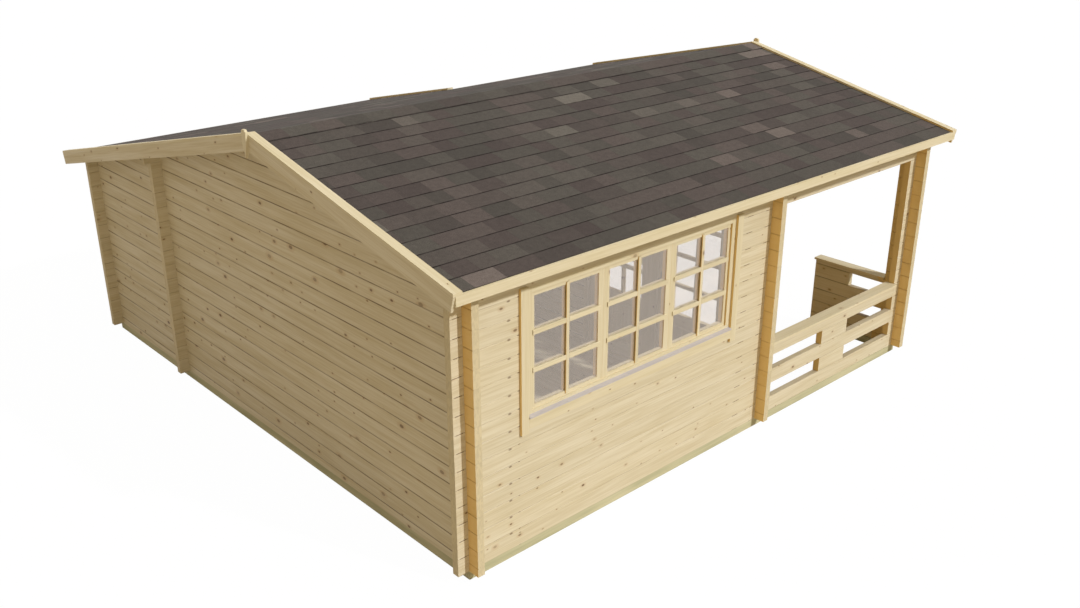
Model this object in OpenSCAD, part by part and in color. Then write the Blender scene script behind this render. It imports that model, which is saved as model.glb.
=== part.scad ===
// Log cabin with a covered corner porch and a lean-to bay behind the room.
// X runs along the ridge (porch at +X), Y from the window wall to the back,
// Z up from the ground. The origin is the middle of the footprint of the roof.

/* [Logs] */
// Height of one course of logs
log_h = 135; // [110:1:170]
// Thickness of a log
log_t = 58; // [40:1:90]
// Depth of the V groove at each seam
groove = 4; // [2:0.5:8]
// How far the crossed log ends stand out from the wall
arm = 95; // [60:1:160]
// How much further the top logs of the cross wall stand out
bracket = 52; // [30:1:100]
// Courses in the window wall, from the beams to the roof
courses = 16; // [16:1:18]
// Courses below the two that span the window, the doorway and the porch
open_courses = 14; // [13:1:15]
// Height of the foundation beams
base_h = 70; // [45:1:120]
// Width of the foundation beams
base_w = 70; // [60:1:120]
// Thickness of the floor boards of the room
floor_t = 20; // [16:1:30]
// Width of a floor joist
joist_w = 45; // [35:1:70]
// Number of floor joists
joists = 9; // [6:1:14]

/* [Plan] */
// Room length along the ridge, wall centre to wall centre
room_len = 3160; // [2900:10:4200]
// Porch length along the ridge, wall centre to post centre
porch_len = 2210; // [1800:10:3000]
// Width under the two equal slopes, wall centre to wall centre
main_width = 4155; // [3400:10:5000]
// Depth of the lean-to bay behind the room
bay_depth = 1515; // [1200:10:2000]

/* [Roof] */
// Slope of the roof in degrees
pitch = 12.8; // [10:0.1:16]
// Eaves overhang from the wall face to the front of the fascia
eave_over = 207; // [160:1:320]
// Gable overhang from the wall face to the face of the bargeboard
gable_over = 220; // [160:1:320]
// Overhang of the bay roof past the wall between room and porch
step_over = 220; // [60:1:320]
// Thickness of the roof boards
board_t = 19; // [16:1:28]
// Thickness of the shingle layer
shingle_t = 7; // [4:0.5:12]
// Hairline gap between the layers of the roof
layer_gap = 0.05; // [0.02:0.01:0.2]
// Thickness of bargeboards and fascias
trim_t = 20; // [16:1:28]
// Width of a bargeboard across its length
barge_w = 112; // [90:1:160]
// How far the lower corner of a bargeboard's end is set back at the eave
barge_cut = 28; // [0:1:60]
// Width of the cap strip on a bargeboard
cap_w = 71; // [50:1:100]
// Thickness of the cap strip
cap_t = 18; // [12:1:25]
// Height of a fascia
fascia_h = 70; // [50:1:110]
// How far a fascia stands above the shingles
fascia_up = 0; // [0:1:30]
// Width of a purlin
purlin_w = 58; // [40:1:80]
// Height of a purlin
purlin_h = 84; // [60:1:110]
// Width of the slat at each gable peak
finial_w = 58; // [40:1:100]
// Height of the slat at each gable peak
finial_h = 208; // [170:1:260]
// Height of the point at the bottom of the slat
finial_point = 106; // [40:1:180]
// How far the slat stands above the cap strips
finial_up = 27; // [10:1:60]

/* [Window] */
// How far the middle of the window lies past the middle of the room
win_off = 10; // [-150:1:150]
// Glazed width of one sash
sash_glass_w = 600; // [450:1:640]
// Glazed height of a sash
sash_glass_h = 794; // [600:1:820]
// Depth of the notch over the window in the logs that span it
win_notch = 39; // [20:1:60]
// Width of the sash stiles and rails
sash_w = 53; // [40:1:70]
// Thickness of a sash
sash_t = 40; // [30:1:50]
// Width of the fixed window frame
frame_w = 68; // [50:1:90]
// How much of a sash the frame laps in front
frame_lap = 22; // [10:1:30]
// Depth of the sash behind the face of the wall
sash_in = 14; // [10:1:24]
// Width of the flat trim beside the window and the doorway
trim_w = 67; // [50:1:95]
// How far the side trims rise above the window frame
trim_up = 11; // [0:1:20]
// How far the sill stands out from the wall
sill_out = 30; // [24:1:70]
// Thickness of the sill
sill_t = 22; // [18:1:35]
// Height of the apron board under the sill
apron_h = 80; // [60:1:140]
// How far the side trims run below the apron board
trim_down = 32; // [0:1:60]
// Thickness of the glass
glass_t = 6; // [4:1:20]
// Depth of the window panes behind the front face of the sashes
glass_in = 2; // [1:1:30]
// Clearance around an opening piece
clear = 8; // [7:0.5:12]

/* [Double door] */
// Width of one leaf
leaf_w = 858; // [650:1:1040]
// Thickness of a leaf
leaf_t = 40; // [36:1:50]
// Width of the stiles of a leaf
stile_w = 184; // [100:1:230]
// Height of the top rail of a leaf
top_rail = 105; // [80:1:150]
// Height of the panel and rails below the glass
low_panel = 650; // [450:1:800]
// Length of wall between the window wall and the doorway
door_side = 200; // [80:1:600]
// Width of the door frame
door_frame_w = 50; // [35:1:80]
// Height of the threshold above the foundation beam
sill_h = 20; // [12:1:40]
// Radius of a hinge knuckle
knuckle_r = 7; // [5:0.5:9]
// Length of a hinge knuckle
knuckle_h = 38; // [25:1:60]
// Thickness of the hinge plates
plate_t = 3; // [2:0.5:4]
// Length of a hinge plate across the joint
plate_w = 24; // [15:1:24]
// Height of the door handle above the threshold
handle_up = 950; // [800:1:1100]

/* [Porch] */
// Courses in a porch railing
rail_courses = 5; // [3:2:7]
// Width of the solid middle of a railing
rail_mid = 398; // [250:1:600]
// Length of the end railings from the post centre
end_rail = 909; // [700:1:1300]
// Width of the handrail board
hand_w = 114; // [80:1:150]
// Thickness of the handrail board
hand_t = 20; // [15:1:30]
// Hairline joint between separate railing logs
hair = 0.4; // [0.3:0.1:1]

/* [Hidden] */

big = 20000;
ht = log_t / 2;
reach = ht + arm;
full_len = room_len + porch_len;
full_width = main_width + bay_depth;
ridge_y = main_width / 2;
tp = tan(pitch);
cp = cos(pitch);
wall_top = base_h + courses * log_h;
beam_z = base_h + open_courses * log_h;
ridge_z = wall_top + (ridge_y + ht) * tp;

// Height of the underside of the roof boards, and of any layer above it
function roof_z(y, up = 0) = ridge_z - abs(y - ridge_y) * tp + up / cp;

// Edges of the roof
near_y = -(ht + eave_over);
far_y = main_width + ht + eave_over;
bay_y = full_width + ht + eave_over;
left_x = -(ht + gable_over);
right_x = full_len + ht + gable_over;
step_x = room_len + ht + step_over;
deck = board_t + shingle_t;
origin = [(left_x + right_x) / 2, (near_y + bay_y) / 2, 0];

// Window: frame outside, and the sashes in it
win_mid = room_len / 2 + win_off;
sash_pitch = sash_glass_w + 2 * sash_w;
frame_vis = frame_w - frame_lap;
win_w = 3 * sash_pitch - 2 * frame_lap + 2 * frame_vis;
win_h = sash_glass_h + 2 * sash_w - 2 * frame_lap + 2 * frame_vis;
win_x0 = win_mid - win_w / 2;
win_x1 = win_mid + win_w / 2;
win_z1 = beam_z + win_notch;
win_z0 = win_z1 - win_h;
sash_z0 = win_z0 + frame_vis - frame_lap;
sash_z1 = win_z1 - frame_vis + frame_lap;
sash_y = -ht + sash_in;
sill_z0 = win_z0 + sill_t / 5;
apron_z0 = sill_z0 - apron_h;

// Doorway: frame outside, and the two leaves in it
door_w = 2 * leaf_w + 3 * clear + 2 * door_frame_w;
door_y0 = ht + door_side;
door_y1 = door_y0 + door_w;
door_y = (door_y0 + door_y1) / 2;
door_z0 = base_h;
door_z1 = beam_z + log_h / 2;
door_face = room_len + ht;
leaf_x = door_face - leaf_t;
leaf_z = door_z0 + sill_h + clear;
leaf_h = door_z1 - door_frame_w - clear - leaf_z;
hinge_x = door_face + knuckle_r + 1;
hinge_y = door_y - leaf_w - clear;

// Porch
rail_z = base_h + rail_courses * log_h;
rail_x0 = room_len + reach + hair;
rail_x1 = full_len - reach - hair;

WOOD = [0.86, 0.78, 0.60];
TRIM = [0.90, 0.84, 0.68];
GREEN = [0.62, 0.65, 0.48];
SHINGLE = [0.33, 0.30, 0.28];
GLASS = [0.72, 0.72, 0.72];
SILL = [0.78, 0.76, 0.80];
METAL = [0.70, 0.70, 0.68];

// The origin is the middle of the footprint, on the ground
module place() { translate(-origin) children(); }

// Box between two corners
module bar(x0, y0, x1, y1, z0, z1) {
    translate([x0, y0, z0]) cube([x1 - x0, y1 - y0, z1 - z0]);
}

// Outline of a stack of logs seen from its end, with a groove at each seam
module log_profile(z0, z1, seam0) {
    first = ceil((z0 + log_h / 8 - seam0) / log_h);
    last = floor((z1 - log_h / 8 - seam0) / log_h);
    seams = [for (k = [first : 1 : last]) seam0 + k * log_h];
    left = [for (s = seams, p = [[-ht, s - groove], [-ht + groove, s], [-ht, s + groove]]) p];
    right = [for (i = [len(left) - 1 : -1 : 0]) [-left[i].x, left[i].y]];
    polygon(concat([[-ht, z0]], left, [[-ht, z1], [ht, z1]], right, [[ht, z0]]));
}

// Stack of logs along X on the line y, with seams at whole courses
module x_logs(y, x0, x1, z0, z1) {
    translate([x0, y, 0]) rotate([90, 0, 90])
        linear_extrude(x1 - x0) log_profile(z0, z1, base_h);
}

// Stack of logs along Y on the line x, with seams half a course lower
module y_logs(x, y0, y1, z0, z1) {
    translate([x, y1, 0]) rotate([90, 0, 0])
        linear_extrude(y1 - y0) log_profile(z0, z1, base_h - log_h / 2);
}

// Where walls cross, every log is notched a quarter from above and below, so
// half of each course belongs to the logs along X and half to those along Y.
module crossings(shift) {
    for (x = [0, room_len, full_len], y = [0, main_width, full_width])
        for (k = [0 : courses + 4])
            translate([x - ht, y - ht, base_h + (k + shift) * log_h])
                cube([log_t, log_t, log_h / 2]);
}

module x_wall() {
    difference() {
        children();
        crossings(-0.25);
    }
}

module y_wall() {
    difference() {
        children();
        crossings(0.25);
        purlin_bars();
    }
}

// Everything below the underside of the roof boards
module under_roof() {
    y0 = near_y - 500;
    y1 = bay_y + 500;
    translate([-big / 2, 0, 0]) rotate([90, 0, 90]) linear_extrude(big)
        polygon([[y0, 0], [y0, roof_z(y0)], [ridge_y, ridge_z], [y1, roof_z(y1)], [y1, 0]]);
}

// A layer that lies on a slope from y0 to y1, between two heights above the
// underside of the roof boards, along X from x0 to x1
module slope_layer(x0, x1, y0, y1, low, high) {
    translate([x0, 0, 0]) rotate([90, 0, 90]) linear_extrude(x1 - x0)
        polygon([[y0, roof_z(y0, low)], [y1, roof_z(y1, low)],
                 [y1, roof_z(y1, high)], [y0, roof_z(y0, high)]]);
}

// ---- Foundation -------------------------------------------------------------

// Beams flush with the outer faces of the walls, none across the porch entrance,
// and joists between those under the room
module foundation_beams() place() color(GREEN) {
    in = base_w - ht;
    g = hair;
    bar(-ht, -ht, full_len + ht, in, 0, base_h);
    bar(-ht, in + g, in, full_width - in - g, 0, base_h);
    bar(room_len - in, in + g, room_len + ht, full_width - in - g, 0, base_h);
    bar(-ht, full_width - in, room_len + ht, full_width + ht, 0, base_h);
    bar(room_len + ht + g, main_width - in, full_len + ht, main_width + ht, 0, base_h);
    bar(full_len - in, in + g, full_len + ht, end_rail, 0, base_h);
    bar(full_len - in, main_width - end_rail, full_len + ht, main_width - in - g, 0, base_h);
    step = (full_width - 2 * in) / (joists + 1);
    for (k = [1 : joists])
        bar(in + g, in + k * step - joist_w / 2, room_len - in - g, in + k * step + joist_w / 2,
            0, base_h);
}

// The room and its bay have a floor, which lies on the joists and beams and is
// cut round the log ends that stand in the room
module floor_boards() place() color(WOOD) difference() {
    g = ht + hair;
    bar(g, g, room_len - g, full_width - g, base_h, base_h + floor_t);
    for (x = [0, room_len])
        bar(x - reach - hair, main_width - g, x + reach + hair, main_width + g, 0, base_h + log_h);
}

// ---- Log walls --------------------------------------------------------------

module front_wall_lower() place() color(WOOD)
    x_wall() x_logs(0, -reach, room_len + reach, base_h, win_z0);

module front_wall_left() place() color(WOOD)
    x_wall() x_logs(0, -reach, win_x0, win_z0, beam_z);

module front_wall_right() place() color(WOOD)
    x_wall() x_logs(0, win_x1, room_len + reach, win_z0, beam_z);

// The top logs run on over the porch and are notched over the window
module front_wall_top() place() color(WOOD) x_wall() intersection() {
    difference() {
        x_logs(0, -reach, full_len + reach, beam_z, wall_top + log_t * tp + 1);
        bar(win_x0, -log_t, win_x1, log_t, beam_z - log_h, win_z1);
    }
    under_roof();
}

module left_gable_wall() place() color(WOOD) y_wall() intersection() {
    y_logs(0, -reach, full_width + reach, base_h, ridge_z + log_h);
    under_roof();
}

// The wall between room and porch, beside and over its doorway
module partition_front() place() color(WOOD)
    y_wall() y_logs(room_len, -reach, door_y0, base_h, door_z1);

module partition_back() place() color(WOOD) y_wall() intersection() {
    y_logs(room_len, door_y1, full_width + reach, base_h, door_z1);
    under_roof();
}

module partition_top() place() color(WOOD) y_wall() intersection() {
    y_logs(room_len, -reach, full_width + reach, door_z1, ridge_z + log_h);
    under_roof();
}

// Top logs between the room and its bay; they run on over the back of the porch,
// and the upper ones are longer at both ends
module cross_beam() place() color(WOOD) x_wall() intersection() {
    out = reach + bracket;
    union() {
        x_logs(main_width, -reach, full_len + reach, beam_z, beam_z + log_h);
        x_logs(main_width, -out, full_len + out, beam_z + log_h, wall_top + log_t * tp + 1);
    }
    under_roof();
}

module cross_stubs() place() color(WOOD) x_wall()
    for (x = [0, room_len]) x_logs(main_width, x - reach, x + reach, base_h, beam_z);

module back_wall() place() color(WOOD) x_wall() intersection() {
    x_logs(full_width, -reach, room_len + reach, base_h, wall_top);
    under_roof();
}

module porch_gable() place() color(WOOD) y_wall() intersection() {
    y_logs(full_len, -reach, main_width + reach, beam_z - log_h / 2, ridge_z + log_h);
    under_roof();
}

// Crossed short logs stand as posts at the two porch corners
module post_logs_x() place() color(WOOD) x_wall()
    for (y = [0, main_width]) x_logs(y, full_len - reach, full_len + reach, base_h, beam_z);

module post_logs_y() place() color(WOOD) y_wall()
    for (y = [0, main_width]) y_logs(full_len, y - reach, y + reach, base_h, beam_z - log_h / 2);

// ---- Porch railings ---------------------------------------------------------

// One log with eased edges, along X from x0 to x1
module rail_log(x0, x1, z0, z1) {
    c = groove;
    translate([x0, 0, 0]) rotate([90, 0, 90]) linear_extrude(x1 - x0)
        polygon([[-ht, z0 + c], [-ht + c, z0], [ht - c, z0], [ht, z0 + c],
                 [ht, z1 - c], [ht - c, z1], [-ht + c, z1], [-ht, z1 - c]]);
}

// Whole logs and short middle logs in turn leave two rows of slots
module porch_rail(y) {
    xm = (rail_x0 + rail_x1) / 2;
    translate([0, y, 0]) for (k = [0 : rail_courses - 1]) {
        z0 = base_h + k * log_h + (k == 0 ? 0 : hair);
        z1 = min(base_h + (k + 1) * log_h, rail_z - hand_t);
        whole = k % 2 == 0;
        rail_log(whole ? rail_x0 : xm - rail_mid / 2, whole ? rail_x1 : xm + rail_mid / 2, z0, z1);
    }
}

// The railings beside the entrance have their courses half a log lower
module end_rail() {
    translate([full_len, 0, 0]) rotate([0, 0, 90]) for (k = [0 : rail_courses]) {
        z0 = k == 0 ? base_h : base_h + (k - 0.5) * log_h + hair;
        z1 = min(base_h + (k + 0.5) * log_h, rail_z - hand_t);
        short = k > 0 && k < rail_courses && k % 2 == 0;
        rail_log(short ? end_rail - rail_mid : reach + hair, end_rail, z0, z1);
    }
}

module porch_rail_front() place() color(WOOD) porch_rail(0);

module porch_rail_back() place() color(WOOD) porch_rail(main_width);

module end_rails() place() color(WOOD) for (m = [0, 1])
    translate([0, m * main_width, 0]) mirror([0, m, 0]) end_rail();

module handrails() place() color(TRIM) {
    hw = hand_w / 2;
    for (y = [0, main_width])
        bar(rail_x0, y - hw, rail_x1, y + hw, rail_z - hand_t, rail_z);
    for (m = [0, 1])
        translate([0, m * main_width, 0]) mirror([0, m, 0])
            bar(full_len - hw, reach + hair, full_len + hw, end_rail + 5,
                rail_z - hand_t, rail_z);
}

// ---- Roof -------------------------------------------------------------------

// Purlins under the ridge and half way down each slope, before they are bevelled
module purlin_bars() {
    for (y = [ridge_y / 2, ridge_y, main_width - ridge_y / 2])
        bar(left_x + trim_t, y - purlin_w / 2, right_x - trim_t, y + purlin_w / 2,
            roof_z(y) - purlin_h, ridge_z + 1);
}

module purlins() place() color(WOOD) intersection() {
    purlin_bars();
    under_roof();
}

module roof_boards_near() place() color(WOOD)
    slope_layer(left_x + trim_t, right_x - trim_t, near_y + trim_t, ridge_y, layer_gap, board_t);

module roof_boards_far() place() color(WOOD)
    slope_layer(left_x + trim_t, right_x - trim_t, ridge_y, far_y - trim_t, layer_gap, board_t);

module roof_boards_bay() place() color(WOOD)
    slope_layer(left_x + trim_t, step_x - trim_t, far_y - trim_t, bay_y - trim_t, layer_gap, board_t);

module shingles_near() place() color(SHINGLE)
    slope_layer(left_x + trim_t, right_x - trim_t, near_y + trim_t, ridge_y, board_t + layer_gap, deck);

module shingles_far() place() color(SHINGLE) {
    low = board_t + layer_gap;
    slope_layer(left_x + trim_t, right_x - trim_t, ridge_y, far_y - trim_t, low, deck);
    slope_layer(left_x + trim_t, step_x - trim_t, far_y - trim_t, bay_y - trim_t, low, deck);
}

// Upright board along an eave, with its outer face at y
module fascia(x0, x1, y, side) {
    top = roof_z(y, deck) + fascia_up;
    bar(x0, min(y, y - side * trim_t), x1, max(y, y - side * trim_t), top - fascia_h, top);
}

module fascias() place() color(TRIM) {
    fascia(left_x + trim_t, right_x - trim_t, near_y, -1);
    fascia(step_x - trim_t, right_x - trim_t, far_y, 1);
    fascia(left_x + trim_t, step_x - trim_t, bay_y, 1);
}

// Board along a slope with its outer face at x; side is the way that face looks
module verge(x, side, y0, y1, low, high, w) {
    slope_layer(min(x, x - side * w), max(x, x - side * w), y0, y1, low, high);
}

// Each verge of the roof: outer face, side, and its two ends
VERGES = [[left_x, -1, near_y, ridge_y], [left_x, -1, ridge_y, bay_y],
          [right_x, 1, near_y, ridge_y], [right_x, 1, ridge_y, far_y],
          [step_x, 1, far_y, bay_y]];

// Wedge cut off the end of a bargeboard at the eave; inward is the way to the ridge
module end_wedge(x, y, inward) {
    top = roof_z(y, deck);
    low = roof_z(y + inward * barge_cut, deck - barge_w);
    translate([x - trim_t - 1, y, 0]) rotate([90, 0, 90]) linear_extrude(2 * trim_t + 2)
        polygon([[0, top], [inward * barge_cut, low], [inward * barge_cut, low - 50],
                 [-inward * 5, low - 50], [-inward * 5, top]]);
}

module bargeboards() place() color(TRIM) for (v = VERGES) difference() {
    verge(v[0], v[1], v[2] + hair / 2, v[3] - hair / 2, deck - barge_w, deck, trim_t);
    if (v[2] == near_y) end_wedge(v[0], near_y, 1);
    else end_wedge(v[0], v[3], -1);
}

module bargeboard_caps() place() color(TRIM) for (v = VERGES)
    verge(v[0], v[1], v[2] + hair / 2, v[3] - hair / 2, deck + layer_gap, deck + cap_t, cap_w);

// Pointed slat on the face of the bargeboards at each gable peak
module finials() place() color(TRIM) {
    z1 = roof_z(ridge_y, deck + cap_t) + finial_up;
    z0 = z1 - finial_h;
    zm = z0 + finial_point;
    hw = finial_w / 2;
    c = hw / 2;
    for (x = [left_x - trim_t, right_x])
        translate([x, ridge_y, 0]) rotate([90, 0, 90]) linear_extrude(trim_t)
            polygon([[0, z0], [hw, zm], [hw, z1 - c], [hw - c, z1],
                     [c - hw, z1], [-hw, z1 - c], [-hw, zm]]);
}

// ---- Window -----------------------------------------------------------------

// The fixed frame, with a rebate that takes the sashes from inside
module window_frame() place() color(TRIM) difference() {
    bar(win_x0, -ht, win_x1, ht, win_z0, win_z1);
    bar(win_x0 + frame_vis, -log_t, win_x1 - frame_vis, log_t,
        win_z0 + frame_vis, win_z1 - frame_vis);
    bar(win_x0 + frame_vis - frame_lap, sash_y, win_x1 - frame_vis + frame_lap, log_t,
        sash_z0, sash_z1);
}

module window_sashes() place() color(TRIM) for (i = [-1 : 1]) {
    xc = win_mid + i * sash_pitch;
    gw = sash_glass_w / 2;
    difference() {
        bar(xc - sash_pitch / 2 + hair, sash_y, xc + sash_pitch / 2 - hair, sash_y + sash_t,
            sash_z0 + hair, sash_z1 - hair);
        bar(xc - gw, sash_y - 1, xc + gw, sash_y + sash_t + 1,
            sash_z0 + sash_w, sash_z1 - sash_w);
    }
}

module window_glass() place() color(GLASS) for (i = [-1 : 1]) {
    xc = win_mid + i * sash_pitch;
    gw = sash_glass_w / 2;
    y = sash_y + glass_in;
    bar(xc - gw, y, xc + gw, y + glass_t, sash_z0 + sash_w, sash_z1 - sash_w);
}

// Flat trim down both sides, and the apron board under the sill
module window_trim() place() color(TRIM) {
    bar(win_x0 - trim_w, -ht - trim_t, win_x0, -ht, apron_z0 - trim_down, win_z1 + trim_up);
    bar(win_x1, -ht - trim_t, win_x1 + trim_w, -ht, apron_z0 - trim_down, win_z1 + trim_up);
    bar(win_x0 + hair, -ht - trim_t, win_x1 - hair, -ht, apron_z0, sill_z0);
}

// The sill slopes outwards
module window_sill() place() color(SILL)
    translate([win_x0 + hair, 0, 0]) rotate([90, 0, 90])
        linear_extrude(win_x1 - win_x0 - 2 * hair)
            polygon([[-ht, sill_z0 + hair], [-ht, win_z0 + sill_t],
                     [-ht - sill_out, win_z0 + sill_t * 0.6],
                     [-ht - sill_out, sill_z0 + hair]]);

// ---- Double door ------------------------------------------------------------

module door_frame() place() color(TRIM) {
    x0 = room_len - ht;
    f = door_frame_w;
    bar(x0, door_y0, door_face, door_y0 + f, door_z0, door_z1);
    bar(x0, door_y1 - f, door_face, door_y1, door_z0, door_z1);
    bar(x0, door_y0 + f + hair, door_face, door_y1 - f - hair, door_z1 - f, door_z1);
    bar(x0, door_y0 + f + hair, door_face, door_y1 - f - hair, door_z0, door_z0 + sill_h);
}

module door_trim() place() color(TRIM) {
    x1 = door_face + trim_t;
    in = door_frame_w / 2;
    top = door_z1 - in;
    bar(door_face, door_y0 + in - trim_w, x1, door_y0 + in, door_z0, top + trim_w);
    bar(door_face, door_y1 - in, x1, door_y1 - in + trim_w, door_z0, top + trim_w);
    bar(door_face, door_y0 + in + hair, x1, door_y1 - in - hair, top, top + trim_w);
}

// Leaves a and b are mirror images about the middle of the doorway
module of_leaf(b) {
    translate([0, door_y, 0]) mirror([0, b ? 1 : 0, 0]) translate([0, -door_y, 0]) children();
}

module leaf() {
    y0 = door_y - clear / 2 - leaf_w;
    difference() {
        bar(leaf_x, y0, door_face, y0 + leaf_w, leaf_z, leaf_z + leaf_h);
        bar(leaf_x - 1, y0 + stile_w, door_face + 1, y0 + leaf_w - stile_w,
            leaf_z + low_panel, leaf_z + leaf_h - top_rail);
    }
}

module leaf_glass() {
    y0 = door_y - clear / 2 - leaf_w;
    x = leaf_x + (leaf_t - glass_t) / 2;
    bar(x, y0 + stile_w, x + glass_t, y0 + leaf_w - stile_w,
        leaf_z + low_panel, leaf_z + leaf_h - top_rail);
}

module door_leaf_a() place() color(TRIM) of_leaf(false) leaf();

module door_leaf_b() place() color(TRIM) of_leaf(true) leaf();

module door_glass_a() place() color(GLASS) of_leaf(false) leaf_glass();

module door_glass_b() place() color(GLASS) of_leaf(true) leaf_glass();

// Backplate, spindle and lever on each face of leaf a
module door_handle() place() color(METAL) {
    y = door_y - clear / 2 - 50;
    z = door_z0 + sill_h + handle_up;
    for (s = [[door_face, 1], [leaf_x, -1]]) translate([s[0], y, z]) mirror([s[1] < 0 ? 1 : 0, 0, 0]) {
        bar(0, -18, 4, 18, -110, 60);
        translate([3, 0, 0]) rotate([0, 90, 0]) cylinder(h = 44, r = 8, $fn = 32);
        translate([40, 8, 0]) rotate([90, 0, 0]) cylinder(h = 120, r = 8, $fn = 32);
    }
}

// Heights of the hinges on a leaf
HINGES = [for (t = [0.12, 0.5, 0.88]) leaf_z + t * leaf_h];

// One half of a hinge: its knuckle on the pin line and its plate to one side
module hinge_half(z, side) {
    y = side < 0 ? hinge_y - plate_w : hinge_y;
    translate([hinge_x, hinge_y, z]) cylinder(h = knuckle_h, r = knuckle_r, $fn = 32);
    bar(door_face, y, door_face + plate_t, y + plate_w, z, z + knuckle_h);
}

module hinges_frame() place() color(METAL) for (b = [false, true], z = HINGES)
    of_leaf(b) hinge_half(z - knuckle_h - hair, -1);

module hinges_a() place() color(METAL) for (z = HINGES)
    of_leaf(false) hinge_half(z + hair, 1);

module hinges_b() place() color(METAL) for (z = HINGES)
    of_leaf(true) hinge_half(z + hair, 1);

foundation_beams();
floor_boards();
front_wall_lower();
front_wall_left();
front_wall_right();
front_wall_top();
left_gable_wall();
partition_front();
partition_back();
partition_top();
cross_beam();
cross_stubs();
back_wall();
porch_gable();
post_logs_x();
post_logs_y();
porch_rail_front();
porch_rail_back();
end_rails();
handrails();
purlins();
roof_boards_near();
roof_boards_far();
roof_boards_bay();
shingles_near();
shingles_far();
fascias();
bargeboards();
bargeboard_caps();
finials();
window_frame();
window_sashes();
window_glass();
window_trim();
window_sill();
door_frame();
door_trim();
door_leaf_a();
door_glass_a();
door_leaf_b();
door_glass_b();
door_handle();
hinges_frame();
hinges_a();
hinges_b();
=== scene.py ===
"""Log cabin with a corner porch and a lean-to bay: materials, roof covering, boards,
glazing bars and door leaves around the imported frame. Metres, in the frame's axes:
+X along the ridge towards the porch, +Y from the window wall to the bay, +Z up."""

import math
import random

import bmesh
import bpy
from mathutils import Euler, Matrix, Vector


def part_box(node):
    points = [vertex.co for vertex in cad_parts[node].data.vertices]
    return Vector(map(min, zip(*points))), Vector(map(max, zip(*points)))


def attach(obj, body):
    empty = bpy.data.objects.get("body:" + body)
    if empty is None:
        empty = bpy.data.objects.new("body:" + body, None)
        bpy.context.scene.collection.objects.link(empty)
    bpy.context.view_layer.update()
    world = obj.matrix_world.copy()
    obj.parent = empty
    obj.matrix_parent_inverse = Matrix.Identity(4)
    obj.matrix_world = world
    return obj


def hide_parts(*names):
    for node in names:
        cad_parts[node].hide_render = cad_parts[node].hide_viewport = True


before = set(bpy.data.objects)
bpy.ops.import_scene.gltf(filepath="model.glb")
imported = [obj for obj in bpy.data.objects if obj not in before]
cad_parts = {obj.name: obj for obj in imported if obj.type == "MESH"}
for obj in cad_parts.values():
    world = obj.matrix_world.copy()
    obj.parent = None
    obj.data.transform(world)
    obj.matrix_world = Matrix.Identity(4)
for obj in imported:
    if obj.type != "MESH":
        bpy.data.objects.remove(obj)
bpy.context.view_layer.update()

# ---- Sizes read from the frame ------------------------------------------------------

WALL_LO, WALL_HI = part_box("front_wall_lower")
TOP_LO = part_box("front_wall_top")[0]
GABLE_LO, GABLE_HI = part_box("left_gable_wall")
BOARDS_LO, BOARDS_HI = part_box("roof_boards_near")
FAR_LO, FAR_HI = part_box("roof_boards_far")
BAY_LO, BAY_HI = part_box("roof_boards_bay")
FLOOR_LO, FLOOR_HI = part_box("floor_boards")
STUBS_LO, STUBS_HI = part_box("cross_stubs")
FRAME_LO, FRAME_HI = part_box("window_frame")
SASH_LO, SASH_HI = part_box("window_sashes")
PANE_LO, PANE_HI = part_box("window_glass")

OPEN_COURSES = 14                  # courses of logs below the window's top logs
BASE_Z = WALL_LO.z                 # top of the foundation beams
LOG_H = (TOP_LO.z - BASE_Z) / OPEN_COURSES
RIDGE_Y = BOARDS_HI.y


def roof_slope():
    """Rise of the roof for each metre of run, from a face of the roof boards"""
    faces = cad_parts["roof_boards_near"].data.polygons
    normal = max(faces, key=lambda f: f.normal.z * f.area).normal
    return abs(normal.y / normal.z)


SLOPE = roof_slope()
ROOF_COS = 1 / math.hypot(1, SLOPE)
BOARD_UP = 0.019                   # thickness of the roof boards
UNDER_RIDGE = BOARDS_HI.z - BOARD_UP / ROOF_COS


def roof_z(y, up=0.0):
    """Height of a layer that lies up above the underside of the roof boards"""
    return UNDER_RIDGE - abs(y - RIDGE_Y) * SLOPE + up / ROOF_COS


# ---- Node materials -----------------------------------------------------------------


def srgb(r, g, b):
    """Linear colour of an sRGB colour given from 0 to 255"""
    def linear(c):
        c = c / 255
        return c / 12.92 if c <= 0.04045 else ((c + 0.055) / 1.055) ** 2.4
    return (linear(r), linear(g), linear(b), 1.0)


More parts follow.
